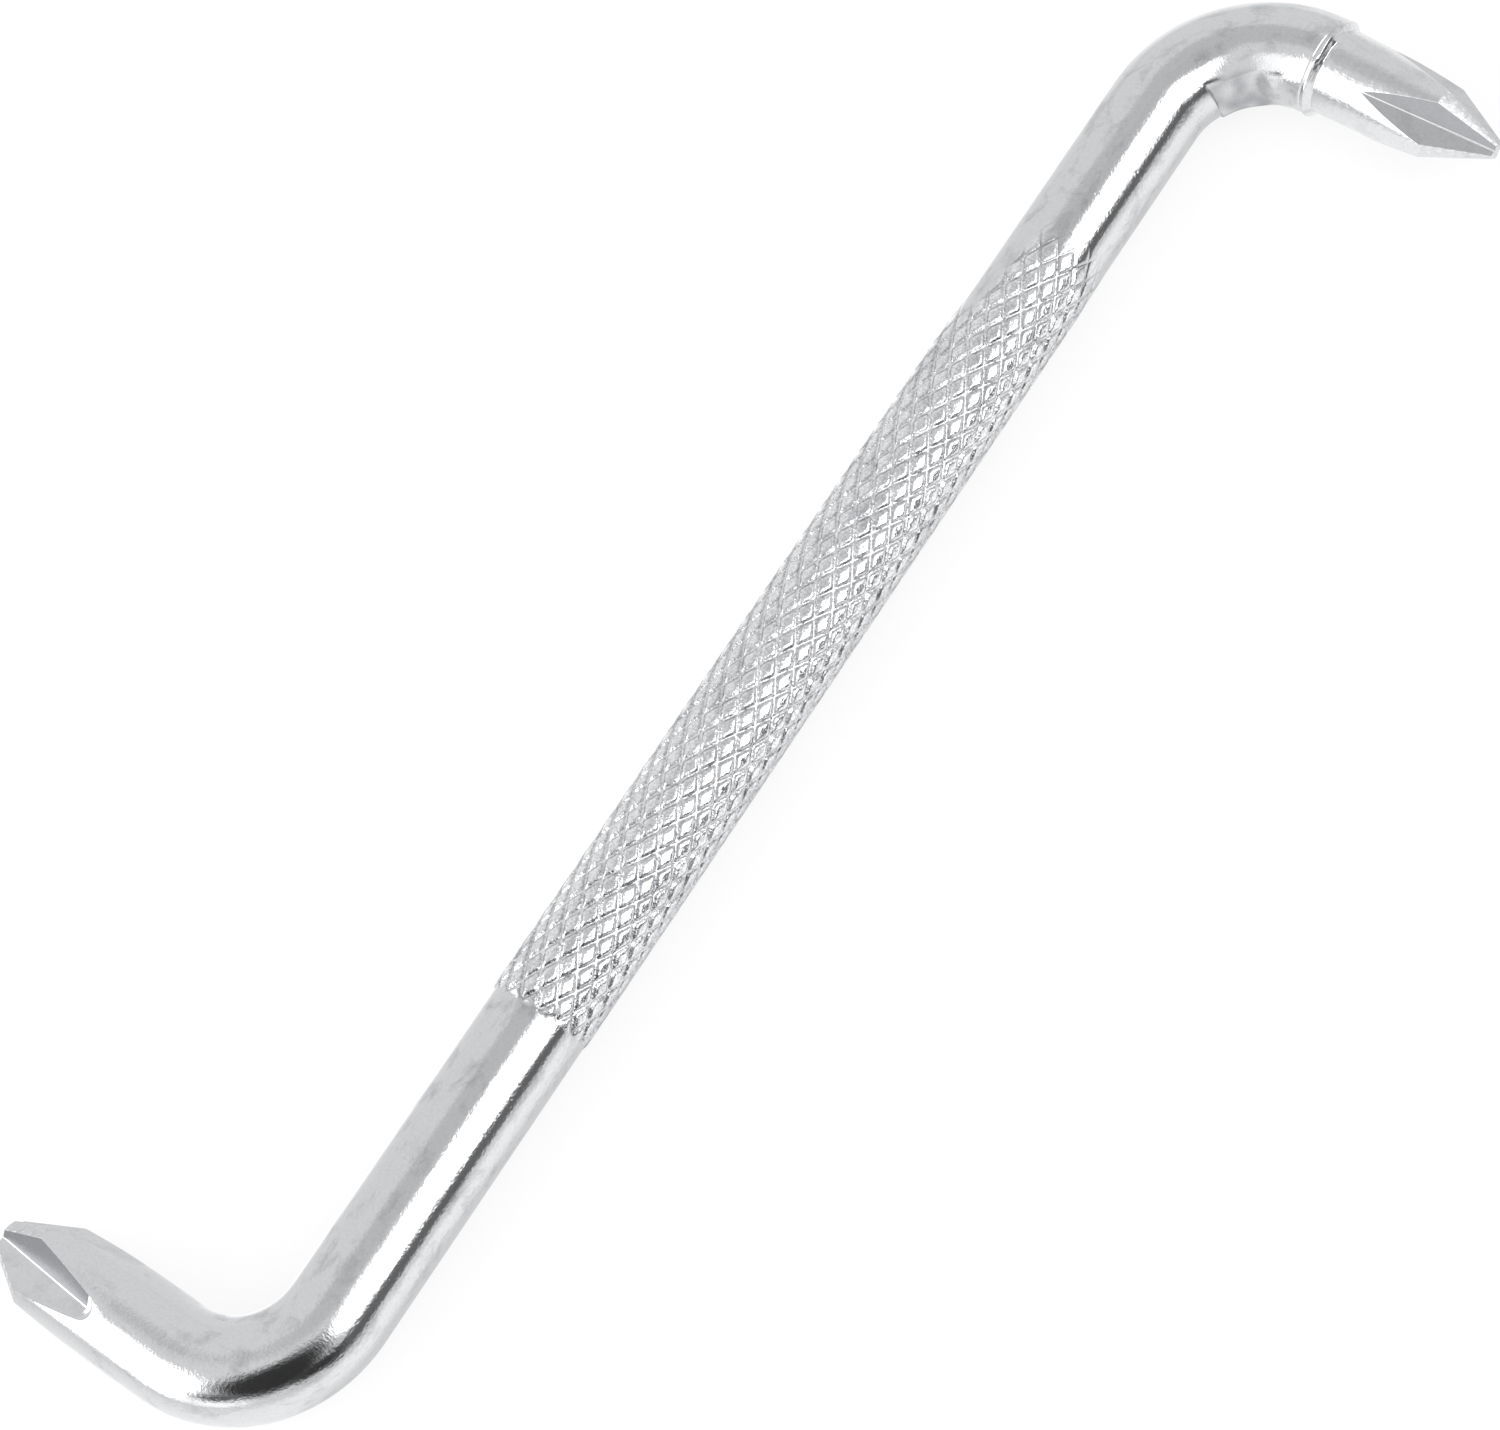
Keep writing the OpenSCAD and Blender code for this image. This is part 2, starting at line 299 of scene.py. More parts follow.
def makeFloor(settings):
    shape = bmesh.new()
    bmesh.ops.create_grid(shape, x_segments=1, y_segments=1, size=settings["floorSize"] / 2 * mm)
    made = makeObject("floor", shape)
    material, tree = newMaterial("white_sweep")
    path = addNode(tree, "ShaderNodeLightPath").outputs
    place = addNode(tree, "ShaderNodeTexCoord").outputs["Object"]
    spot = addNode(tree, "ShaderNodeSeparateXYZ", {0: place}).outputs

    # the metal sees strips of light beside the shaft and a pool of it round the ends
    wide, long = settings["pool"]
    shares = vectorMaths(tree, "MULTIPLY_ADD", place, (1 / (wide * mm), 1 / (long * mm), 0),
                         (-settings["poolPlace"] / wide, 0, 0))["Vector"]
    reach = vectorMaths(tree, "LENGTH", shares)["Value"]
    pool = mapRange(tree, reach, *settings["poolBorder"], *settings["poolLight"])
    strips = settings["strips"]
    first, last = strips[0][0], strips[-1][0]
    across = mapRange(tree, spot["X"], first * mm, last * mm, kind="LINEAR")
    ramp = addNode(tree, "ShaderNodeFloatCurve", {"Value": across})
    curve = ramp.mapping.curves[0]
    for k, (at, light) in enumerate(strips):
        where = ((at - first) / (last - first), light / settings["stripsTop"])
        if k in (0, len(strips) - 1):
            curve.points[0 if k == 0 else -1].location = where
        else:
            curve.points.new(*where)
    ramp.mapping.update()
    beside = maths(tree, "MULTIPLY", ramp.outputs["Value"], settings["stripsTop"])
    near, gone = settings["stripsHalfLength"]
    ends = mapRange(tree, maths(tree, "ABSOLUTE", spot["Y"]), near * mm, gone * mm)
    mirrored = mixNumbers(tree, ends, beside, pool)

    # the camera and the metal see mostly glow, and for the rest matt white that takes shadows
    glow = mixNumbers(tree, path["Is Glossy Ray"], settings["seenGlow"], mirrored)
    white = addNode(tree, "ShaderNodeEmission", {"Color": hexColour(settings["seen"]), "Strength": glow})
    matt = addNode(tree, "ShaderNodeBsdfDiffuse", {"Color": hexColour(settings["floorColour"])})
    seen = path["Is Camera Ray"]
    for kind in ("Is Glossy Ray", "Is Transmission Ray"):
        seen = maths(tree, "MAXIMUM", seen, path[kind])
    most = mixNumbers(tree, path["Is Glossy Ray"], settings["floorGlow"], settings["metalGlow"])
    both = mixShaders(tree, maths(tree, "MULTIPLY", seen, most), matt, white)
    addNode(tree, "ShaderNodeOutputMaterial", {"Surface": both})
    made.data.materials.append(material)


makeWorld(studio)
makeSoftboxes(studio)
makeFloor(studio)
for name, flag in studio["flags"].items():
    makeFlag(name, *flag)
print("studio lit")

# Bright nickel plate on drawn steel: a mirror with the fine lengthwise lines of the
# drawing die under it, cloudy stains from the bath and a few pits. The patterns read
# an attribute that says where each spot lay on the straight bar, so they bend with it
plating = {
    "colour": "#DEDFE1",
    "stain": "#C3C4C7",
    "roughness": 0.11,
    "stainRoughness": 0.16,
    "stainSize": 1.5,                # mm across
    "stainLength": 2.6,              # mm along the bar
    "stainNoise": (0.5, 0.68),       # where in the noise a stain starts and is full
    "speckle": 0.05,                 # share of light that fine specks take
    "speckleSize": 0.18,             # mm
    "speckleNoise": (0.42, 0.62),
    "rolledSpeckle": 0,              # more of them where the wheels rolled
    "lipPaintedShade": 0,                # painted shade: share of the colour taken at the lips of the rolled grooves
    "rolledPaintedBrightening": 0,                # painted brightening: share of colour added to the rolled metal, which balances the painted lip shade
    "lineWidth": 0.22,               # mm, drawn coarser than real to show
    "lineLength": 1.6,               # mm
    "lineDepth": 0.0030,             # mm
    "pitSize": 0.9,                  # mm between pits
    "pitReach": 0.16,                # share of that which a pit takes
    "pitDepth": 0.006,               # mm
    "grainSize": 0.18,               # mm, drawn coarse enough to show
    "grainDepth": 0.010,             # mm
    "rolledGrain": 0,                # mm more where the wheels rolled
    "pressedGrain": 0,               # mm more in the pressed grooves
    "milledColour": "#8E8F92",       # where the plate is thin over a milled or scuffed surface; on some flanks and on the pin's print it is also painted shade
    "milledRoughness": 0.24,
    "tickLength": 0.085,             # mm, one turn of the lathe
    "tickDepth": 0.0045,
    "tickWobble": 0.5,               # mm, keeps the ticks from being perfectly regular
    "chatterLength": 0.6,            # mm
    "chatterDepth": 0.014,
}
# on the grip: painted shade at the lips of the grooves, and a painted brightening of the metal between
# them
rolledPlating = {**plating, "rolledGrain": 0.024, "pressedGrain": 0.01, "rolledSpeckle": 0.26,
                 "lipPaintedShade": 0.44, "rolledPaintedBrightening": 0.26}
pointPlating = {**plating, "stain": "#D0D1D3", "stainRoughness": 0.13}


def platedSteel(name, settings):
    material, tree = newMaterial(name)
    place = addNode(tree, "ShaderNodeAttribute", {"attribute_name": "drawn"}).outputs["Vector"]
    dulledAndShaded, rolled, pressed, turned = (
        addNode(tree, "ShaderNodeAttribute", {"attribute_name": share}).outputs["Fac"]
        for share in ("dulledAndShaded", "rolled", "pressed", "turned"))

    streaked = stretch(tree, place, settings["stainSize"], settings["stainLength"])
    clouds = makeNoise(tree, streaked, size=1, detail=6, roughness=0.7, distortion=0.3)
    stained = mapRange(tree, clouds, *settings["stainNoise"], kind="LINEAR")
    colour = mixColours(tree, stained, hexColour(settings["colour"]), hexColour(settings["stain"]))
    # duller, darker plate where milled or scuffed, which also carries painted shade on some flanks and on
    # the pin's print
    colour = mixColours(tree, dulledAndShaded, colour, hexColour(settings["milledColour"]))
    rough = mixNumbers(tree, stained, settings["roughness"], settings["stainRoughness"])
    rough = mixNumbers(tree, dulledAndShaded, rough, settings["milledRoughness"])

    # specks take light everywhere. Painted shade darkens the lips, where a groove is pressed by half, and
    # a painted brightening of the rolled plate balances it
    specks = makeNoise(tree, place, settings["speckleSize"], detail=2, roughness=0.7)
    dull = mapRange(tree, specks, *settings["speckleNoise"], kind="LINEAR")
    most = maths(tree, "MULTIPLY_ADD", rolled, settings["rolledSpeckle"], settings["speckle"])
    lipShadeBand = maths(tree, "PINGPONG", pressed, 0.5)
    taken = maths(tree, "MULTIPLY", most, dull)
    taken = maths(tree, "MULTIPLY_ADD", lipShadeBand, 2 * settings["lipPaintedShade"], taken)
    paintedBrightening = maths(tree, "MULTIPLY_ADD", rolled, settings["rolledPaintedBrightening"], 1)
    left = maths(tree, "SUBTRACT", paintedBrightening, taken)
    colour = addNode(tree, "ShaderNodeVectorMath",
                     {"operation": "SCALE", 0: colour, "Scale": left}).outputs["Vector"]

    # heights in mm: die lines along the bar, round pits, grain, and the lathe's ticks and chatter
    drawn = stretch(tree, place, settings["lineWidth"], settings["lineLength"])
    lines = makeNoise(tree, drawn, size=1, detail=3, roughness=0.6)
    height = maths(tree, "MULTIPLY", lines, settings["lineDepth"])
    spots = addNode(tree, "ShaderNodeTexVoronoi", {"Scale": 1 / settings["pitSize"], "Vector": place})
    pits = mapRange(tree, spots.outputs["Distance"], 0, settings["pitReach"], -settings["pitDepth"], 0)
    height = maths(tree, "ADD", height, pits)
    grain = makeNoise(tree, place, settings["grainSize"], detail=2, roughness=0.55)
    depth = maths(tree, "MULTIPLY_ADD", rolled, settings["rolledGrain"], settings["grainDepth"])
    depth = maths(tree, "MULTIPLY_ADD", pressed, settings["pressedGrain"], depth)
    height = maths(tree, "MULTIPLY_ADD", grain, depth, height)
    along = addNode(tree, "ShaderNodeSeparateXYZ", {0: place}).outputs["Y"]
    wobble = maths(tree, "MULTIPLY_ADD", lines, settings["tickWobble"], along)
    for length, depth in ((settings["tickLength"], settings["tickDepth"]),
                          (settings["chatterLength"], settings["chatterDepth"])):
        wave = maths(tree, "SINE", maths(tree, "MULTIPLY", wobble, 2 * math.pi / length))
        height = maths(tree, "MULTIPLY_ADD", wave, maths(tree, "MULTIPLY", turned, depth), height)
    bump = addNode(tree, "ShaderNodeBump", {"Strength": 1, "Distance": mm, "Height": height})
    metal = addNode(tree, "ShaderNodeBsdfPrincipled",
                    {"Metallic": 1, "Base Color": colour, "Roughness": rough,
                     "Normal": bump.outputs["Normal"]})
    addNode(tree, "ShaderNodeOutputMaterial", {"Surface": metal.outputs[0]})
    return material


plated = platedSteel("bright_nickel_plate", plating)
knurled = platedSteel("nickel_plate_on_rolled_steel", rolledPlating)
pointed = platedSteel("nickel_plate_on_milled_points", pointPlating)
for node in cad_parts.values():
    node.data.materials.clear()
    node.data.materials.append(plated)
print("plating on")

gripLow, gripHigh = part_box("knurled_grip")
axisX = (gripLow.x + gripHigh.x) / 2
axisZ = (gripLow.z + gripHigh.z) / 2

# The bar that everything is made from. Its sizes are the drawing's, in mm
bar = {
    "radius": 3.175,
    "sides": 160,
    "creaseAngle": 50,       # degrees, past which an edge stays sharp
    "weld": 0.0001,          # mm, points nearer than this are one
}


def smoothStep(low, high, value):
    share = min(1, max(0, (value - low) / (high - low)))
    return share * share * (3 - 2 * share)


# The bends in the bar. Both arms lie level
bends = {
    "lowerRadius": 7.2,      # mm, along the middle of the bar
    "lowerAngle": 90,
    "upperRadius": 7.5,
    "upperAngle": 93,
    "steps": 0.75,           # degrees
}
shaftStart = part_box("lower_shank")[0].y / mm
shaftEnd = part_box("upper_shank")[1].y / mm
shaftX, shaftZ = axisX / mm, axisZ / mm


def straighten(point):
    # where a point of the bent bar lay on the straight one: aside, along and up, in mm
    if shaftStart <= point.y <= shaftEnd:
        return Vector((point.x - shaftX, point.y, point.z - shaftZ))
    upper = point.y > shaftEnd
    radius = bends["upperRadius" if upper else "lowerRadius"]
    full = math.radians(bends["upperAngle" if upper else "lowerAngle"])
    start = shaftEnd if upper else shaftStart
    side = 1 if upper else -1
    out = Vector((side * (shaftX + side * radius - point.x), side * (point.y - start)))
    turn = math.atan2(out.y, out.x)
    if turn <= full:
        along, aside = turn * radius, radius - out.length
    else:
        way = Vector((math.sin(full), math.cos(full)))
        along = full * radius + Vector((-out.x, out.y)).dot(way)
        aside = radius - Vector((-out.x, out.y)).dot(Vector((-way.y, way.x)))
    return Vector((side * aside, start + side * along, point.z - shaftZ))


def finishPiece(name, shape, node, place, material=plated):
    # turns a bmesh in mm into an object that stands for one zone of the bar
    bmesh.ops.transform(shape, matrix=place, verts=shape.verts)
    drawn = shape.verts.layers.float_vector.new("drawn")
    for vert in shape.verts:
        vert[drawn] = straighten(vert.co)
    bmesh.ops.scale(shape, verts=shape.verts, vec=(mm, mm, mm))
    bmesh.ops.recalc_face_normals(shape, faces=shape.faces)
    for face in shape.faces:
        face.smooth = True
    for edge in shape.edges:
        edge.smooth = edge.calc_face_angle(0) < math.radians(bar["creaseAngle"])
    made = makeObject(name, shape)
    made.data.materials.append(material)
    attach(made, "root")
    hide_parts(node)
    print(name, len(made.data.polygons), "faces")
    return made


# The grip is rolled: hard wheels press round-bottomed grooves in both hands, and the
# diamonds between them keep the bar's round. The wheels crept a little as they turned
grip = {
    "starts": 16,            # grooves in each hand
    "period": 2.1145,        # mm from one diamond to the next along the bar
    "firstAngle": 28.3,      # degrees from the top of the first diamond
    "firstPlace": 2.27,      # mm from the lower end
    "creep": 0.0635,         # degrees for each mm along the bar
    "cells": 10,             # mesh squares across a diamond
    "crowding": 0.4,         # how much closer they lie in the grooves
    "rise": 0.115,           # mm, the diamonds' height above the bar
    "grooveWidth": 0.46,     # mm, from lip to lip
    "grooveStart": 0.4,      # share of that where the knurl starts and fades out
    "grooveDepth": 0.17,     # mm
    "lean": 0.010,           # mm, how far a diamond leans at its corner
    "dent": 0.006,           # mm, the hollow in the middle of a diamond
    "dentSize": 0.2,         # mm
    "rough": 0.016,          # mm, how uneven the pressed metal is
    "roughSize": 0.3,        # mm
    "padRough": 0.2,         # share of it that is left on the diamonds
    "ragged": 0.5,           # mm, how unevenly the grooves start and end
    "raggedSize": 0.6,       # mm
    "lowerRun": 0.35,        # mm over which the knurl starts
    "upperRun": 4.2,         # mm over which it fades out
    "farLoss": 6.5,          # mm that it stops earlier on the far side
    "farSide": (0.1, 0.5),   # where that side starts and is full, as shares of the radius
    "weld": 0.002,           # mm
    "seed": 7,
}


def countDiamonds(settings, angle, place):
    # counts diamonds along both hands from the first one. A groove lies at each half
    row = 2 * (place - settings["firstPlace"]) / settings["period"]
    turned = angle - settings["firstAngle"] + settings["creep"] * (place - settings["firstPlace"])
    column = turned * settings["starts"] / 180
    return (row + column) / 2, (row - column) / 2


def findPlace(settings, a, b):
    # the angle and the place along the bar of a count in both hands
    place = settings["firstPlace"] + (a + b) * settings["period"] / 2
    turned = (a - b) * 180 / settings["starts"]
    return turned + settings["firstAngle"] - settings["creep"] * (place - settings["firstPlace"]), place


def pressGroove(settings, count, width):
    # how deep the wheel's tooth goes at this count, as a share
    away = abs(count - math.floor(count) - 0.5) * settings["pitch"] / width
    return 0.5 + 0.5 * math.cos(2 * math.pi * away) if away < 0.5 else 0


def makeGrip(settings):
    length = (gripHigh.y - gripLow.y) / mm
    starts, cells = settings["starts"], settings["cells"]
    across = math.pi * bar["radius"] / starts
    settings["pitch"] = across * settings["period"] / math.hypot(across, settings["period"] / 2)

    # one strip of squares between two grooves of each hand wraps the bar like a ribbon
    first = math.floor(-2 * settings["firstPlace"] / settings["period"]) - starts
    rows = math.ceil(2 * length / settings["period"]) + starts + 2
    shape = bmesh.new()
    bmesh.ops.create_grid(shape, x_segments=starts * cells, y_segments=rows * cells, size=0.5)
    bmesh.ops.scale(shape, verts=shape.verts, vec=(starts, rows, 1))
    bmesh.ops.translate(shape, verts=shape.verts, vec=(starts / 2, first + rows / 2, 0))
    for vert in shape.verts:
        a, b = (count + settings["crowding"] * math.sin(2 * math.pi * count) / (2 * math.pi)
                for count in vert.co[:2])
        vert.co = (*findPlace(settings, a, b), 0)
    for cut, side in ((0, -1), (length, 1)):
        bmesh.ops.bisect_plane(shape, geom=shape.verts[:] + shape.edges[:] + shape.faces[:],
                               dist=bar["weld"], plane_co=(0, cut, 0), plane_no=(0, side, 0),
                               clear_outer=True)

    random.seed(settings["seed"])
    pads = {}
    pressed = shape.verts.layers.float.new("pressed")
    rolled = shape.verts.layers.float.new("rolled")
    for vert in shape.verts:
        angle, place = vert.co[:2]
        a, b = countDiamonds(settings, angle, place)
        turn = math.radians(angle)
        flat = Vector((math.sin(turn), 0, math.cos(turn)))
        spot = flat * bar["radius"] + Vector((0, place, 0))
        ragged = settings["ragged"] * noise.noise(spot / settings["raggedSize"])
        far = smoothStep(*settings["farSide"], -flat.x) * settings["farLoss"]
        low = smoothStep(0, settings["lowerRun"], place - abs(ragged))
        high = smoothStep(0, settings["upperRun"], length - far - place + ragged)
        strength = min(low, high)
        narrow = settings["grooveStart"]
        width = settings["grooveWidth"] * (narrow + (1 - narrow) * strength)
        plain = (1 - pressGroove(settings, a, width)) * (1 - pressGroove(settings, b, width))
        key = (round(a) - round(b)) % (2 * starts), round(a) + round(b)
        if key not in pads:
            pads[key] = [random.uniform(-1, 1) for k in range(3)]
        leanA, leanB, dent = pads[key]
        inA, inB = (a - round(a)) * settings["pitch"], (b - round(b)) * settings["pitch"]
        inward = math.exp(-(inA * inA + inB * inB) / settings["dentSize"] ** 2)
        hollow = settings["dent"] * (1 + dent) * inward
        tilt = settings["lean"] * (leanA * inA + leanB * inB - 1)
        rough = (settings["rough"] * noise.noise(spot / settings["roughSize"])
                 * (1 + settings["padRough"] - plain))
        lift = settings["rise"] - settings["grooveDepth"] * (1 - plain) + plain * (tilt - hollow) + rough
        vert[pressed] = (1 - plain) * strength
        vert[rolled] = strength
        reach = bar["radius"] + min(settings["rise"], lift) * strength
        vert.co = flat * reach + Vector((0, place, 0))
    bmesh.ops.remove_doubles(shape, verts=shape.verts, dist=settings["weld"])
    bmesh.ops.holes_fill(shape, edges=[edge for edge in shape.edges if edge.is_boundary])
    place = Matrix.Translation((axisX / mm, gripLow.y / mm, axisZ / mm))
    finishPiece("rolled_grip", shape, "knurled_grip", place, knurled)


makeGrip(grip)
print("grip rolled")

# The bending pin's print inside the upper bend: a flat with a sharp border where the bend starts
pinMark = {
    "from": 20,              # degrees round the bend, at its upper corner
    "slant": 0.1,            # degrees more for each degree lower round the bar
    "to": 76,
    "endSlant": 0.25,        # degrees less for each degree higher than the inside
    "middle": 42,            # where the flat faces straight out
    "below": -34,            # degrees round the bar, from the inside up
    "above": 46,
    "facing": 16,
    "cut": 0.13,             # mm below the round bar at the middle
    "most": 0.30,            # mm that the metal moved at most
    "startBorder": 1.5,      # degrees
    "endBorder": 14,
    "sideBorder": 18,
    "rough": 0.05,           # mm, how uneven it is
    "roughSize": 0.9,
    "scuffAndShade": 0.5,          # how dull and dark the plate is there: scuffed, and painted shade for the shaded floor that it reflects
    "scuffedUneven": 0.4,    # how much that varies with the unevenness
}


def lathe(profile, sides):
    # turns a list of (radius, height) in mm about +Z
    shape = bmesh.new()
    points = [shape.verts.new((radius, 0, height)) for radius, height in profile]
    lines = [shape.edges.new(pair) for pair in zip(points, points[1:])]
    bmesh.ops.spin(shape, geom=points + lines, axis=(0, 0, 1), angle=2 * math.pi, steps=sides,
                   use_merge=True)
    bmesh.ops.remove_doubles(shape, verts=shape.verts, dist=bar["weld"])
    return shape


def standing(point, direction):
    # where +Z leaves the point in that direction and +X stays level, in mm
    along = direction.normalized()
    side = Vector((0, 0, 1)).cross(along).normalized()
    turned = Matrix((side, along.cross(side), along)).transposed().to_4x4()
    return Matrix.Translation(point) @ turned


def makeRod(name, node, start, direction, length):
    radius = bar["radius"]
    shape = lathe([(0, 0), (radius, 0), (radius, length), (0, length)], bar["sides"])
    finishPiece(name, shape, node, standing(start, direction))


def bentBar(radius, angle):
    # a bend that starts at the origin, heads for +Y and turns toward +X
    shape = bmesh.new()
    ring = bmesh.ops.create_circle(shape, segments=bar["sides"], radius=bar["radius"])
    bmesh.ops.rotate(shape, verts=shape.verts, cent=(0, 0, 0), matrix=Matrix.Rotation(math.pi / 2, 3, "X"))
    bmesh.ops.spin(shape, geom=ring["verts"] + shape.edges[:], cent=(radius, 0, 0), axis=(0, 0, -1),
                   angle=math.radians(angle), steps=round(angle / bends["steps"]))
    bmesh.ops.holes_fill(shape, edges=[edge for edge in shape.edges if edge.is_boundary])
    return shape


def pressMark(shape, settings):
    middle, facing = math.radians(settings["middle"]), math.radians(settings["facing"])
    level = Vector((math.cos(middle), -math.sin(middle), 0))
    out = level * math.cos(facing) + Vector((0, 0, math.sin(facing)))
    centre = Vector((bends["upperRadius"], 0, 0))
    flat = centre - level * bends["upperRadius"] + out * (bar["radius"] - settings["cut"])
    scuffAndShade = shape.verts.layers.float.new("dulledAndShaded")
    for vert in shape.verts:
        inward = centre - vert.co
        inward.z = 0
        turn = math.degrees(math.atan2(-inward.y, inward.x))
        side = math.degrees(math.atan2(vert.co.z, bends["upperRadius"] - inward.length))
        if not settings["below"] < side < settings["above"]:
            continue
        first = settings["from"] + (settings["above"] - side) * settings["slant"]
        last = settings["to"] - max(0, side) * settings["endSlant"]
        strength = (smoothStep(0, settings["startBorder"], turn - first)
                    * smoothStep(0, settings["endBorder"], last - turn)
                    * smoothStep(0, settings["sideBorder"], side - settings["below"])
                    * smoothStep(0, settings["sideBorder"], settings["above"] - side))
        height = min(settings["most"], max(-settings["most"], (vert.co - flat).dot(out)))
        uneven = noise.noise(vert.co / settings["roughSize"])
        vert.co -= out * (height + settings["rough"] * uneven) * strength
        # the print's plate is scuffed dull, and darkened as a painted reflection of the shaded floor
        # inside the bend
        vert[scuffAndShade] = strength * (settings["scuffAndShade"] + uneven * settings["scuffedUneven"])


# Plain stretches of drawn bar and the bends in it
shaftWay = Vector((0, 1, 0))
lowerArmWay = Vector((-1, 0, 0))
makeRod("lower_plain_bar", "lower_shank", Vector((shaftX, shaftStart, shaftZ)), shaftWay,
        gripLow.y / mm - shaftStart)
makeRod("upper_plain_bar", "upper_shank", Vector((shaftX, gripHigh.y / mm, shaftZ)), shaftWay,
        shaftEnd - gripHigh.y / mm)

lowerBend = bentBar(bends["lowerRadius"], bends["lowerAngle"])
finishPiece("lower_bent_bar", lowerBend, "lower_bend",
            Matrix.Translation((shaftX, shaftStart, shaftZ)) @ Matrix.Rotation(math.pi, 4, "Z"))
upperBend = bentBar(bends["upperRadius"], bends["upperAngle"])
pressMark(upperBend, pinMark)
finishPiece("upper_bent_bar", upperBend, "upper_bend", Matrix.Translation((shaftX, shaftEnd, shaftZ)))

lowerCorner = Vector((shaftX, shaftStart - bends["lowerRadius"], shaftZ))
armLow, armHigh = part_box("lower_arm")
makeRod("lower_plain_arm", "lower_arm", Vector((armHigh.x / mm, lowerCorner.y, shaftZ)), lowerArmWay,
        (armHigh.x - armLow.x) / mm)
print("plain bar and bends made")

# The forging die left a nick and a bead where the bar steps down to the neck
step = {
    "nick": 0.06,            # mm deep, where the bead starts
    "nickWidth": 0.07,       # mm
    "beadFrom": 0.14,        # mm along the bar
    "beadTo": 0.78,
    "beadRise": 0.07,        # mm above the bar
    "farRise": 0.025,        # mm above the bar on the far side, at most
    "farSide": (0.1, 0.7),   # where that side starts and is full, as shares of the radius
    "fallFrom": 0.35,        # share of the bead after which the bar gets thinner
    "length": 1.1,           # mm
    "rings": 44,
    "rough": 0.07,           # mm, how uneven the die left it
    "roughSize": 0.6,        # mm round the bar
    "roughLength": 0.17,     # mm along it
    "even": 0.01,            # mm at both ends that stays round
    "sides": 256,
}
neck = {
    "length": 2.3,           # mm
    "radius": 2.8,
}
upperTip = {
    "shoulder": 2.625,       # mm, radius where the point starts
    "blunt": 0.625,          # mm, radius of its end
    "pointAngle": 26.5,      # degrees a side
    "fluteLength": 8.7,      # mm
    "land": 0.3,             # mm, plain length behind the flutes
    "core": 0.35,            # mm from the axis to a flute's root at the end
    "fluteAngle": 124,       # degrees
    "turn": -9,              # degrees from straight up to a wing
    "edge": 0.05,            # mm, how far an edge is worn round
    "root": 0.13,            # mm, radius of the cutter's tooth
    # how dark and dull the flanks are, before and after the root of each flute: duller plate over the
    # milled metal, and painted shade on the flanks set darkest
    "dull": [(0.7, 0.1), (0.7, 0.1), (0.7, 0.1), (0.1, 0.1)],
    "turned": 0.2,           # how much the lathe shows on the plain part
}
lowerTip = {
    "shoulder": 3.05,        # mm
    "blunt": 1.2,
    "pointAngle": 30,
    "fluteLength": 9.1,
    "land": 0.3,
    "core": 0.85,
    "fluteAngle": 124,
    "fluteEnd": 0.55,        # mm, depth of the cutter's round end
    "turn": 31,
    "edge": 0.06,
    "root": 0.14,
    # painted shade on the one flank set fully dark, and a little duller plate on the others
    "dull": [(0.05, 0.05), (0.05, 0.05), (0.05, 0.05), (0.03, 1)],
    "turned": 0,
}
milling = {
    "rootSteps": 4,          # round the cutter's tooth
    "coneSides": 96,         # round its end
    "beyond": 1,             # mm that it runs past the end of the bar
    "weld": 0.002,           # mm
    "flatAngle": 0.5,        # degrees, faces that differ less become one
    "edgeAngle": 20,         # degrees, past which an edge is worn
    "cutDepth": (0.99, 0.03),    # share of the turned radius, and mm, that a milled face lies inside
    "cutTilt": 0.9,          # a face that looks more along the bar than this is an end
    "flankArea": 1,          # mm2, the least that is a flank and not a worn edge
}


def makeStep(settings, place):
    length = settings["length"]
    profile = [(0, 0), (bar["radius"], 0)]
    for k in range(1, settings["rings"]):
        at = length * k / settings["rings"]
        bead = (at - settings["beadFrom"]) / (settings["beadTo"] - settings["beadFrom"])
        fall = smoothStep(settings["fallFrom"], 1, bead)
        radius = bar["radius"] + (neck["radius"] - bar["radius"]) * fall
        if 0 < bead < 1:
            radius += settings["beadRise"] * math.sin(math.pi * bead)
        radius -= settings["nick"] * math.exp(-((at - settings["beadFrom"]) / settings["nickWidth"]) ** 2)
        profile.append((radius, at))
    profile += [(neck["radius"], length), (0, length)]
    shape = lathe(profile, settings["sides"])
    for vert in shape.verts:
        if settings["even"] < vert.co.z < length - settings["even"]:
            out = Vector((vert.co.x, vert.co.y, 0)).normalized()
            share = math.sin(math.pi * vert.co.z / length) ** 2
            spot = Vector((vert.co.x / settings["roughSize"], vert.co.y / settings["roughSize"],
                           vert.co.z / settings["roughLength"]))
            vert.co += out * settings["rough"] * share * noise.noise(spot)
            # the far side of the bead was pressed almost level with the bar
            past = Vector((vert.co.x, vert.co.y, 0)).length - bar["radius"] - settings["farRise"]
            if past > 0:
                vert.co -= out * past * smoothStep(*settings["farSide"], out.x)
    finishPiece("forged_step", shape, "upper_collar", place)


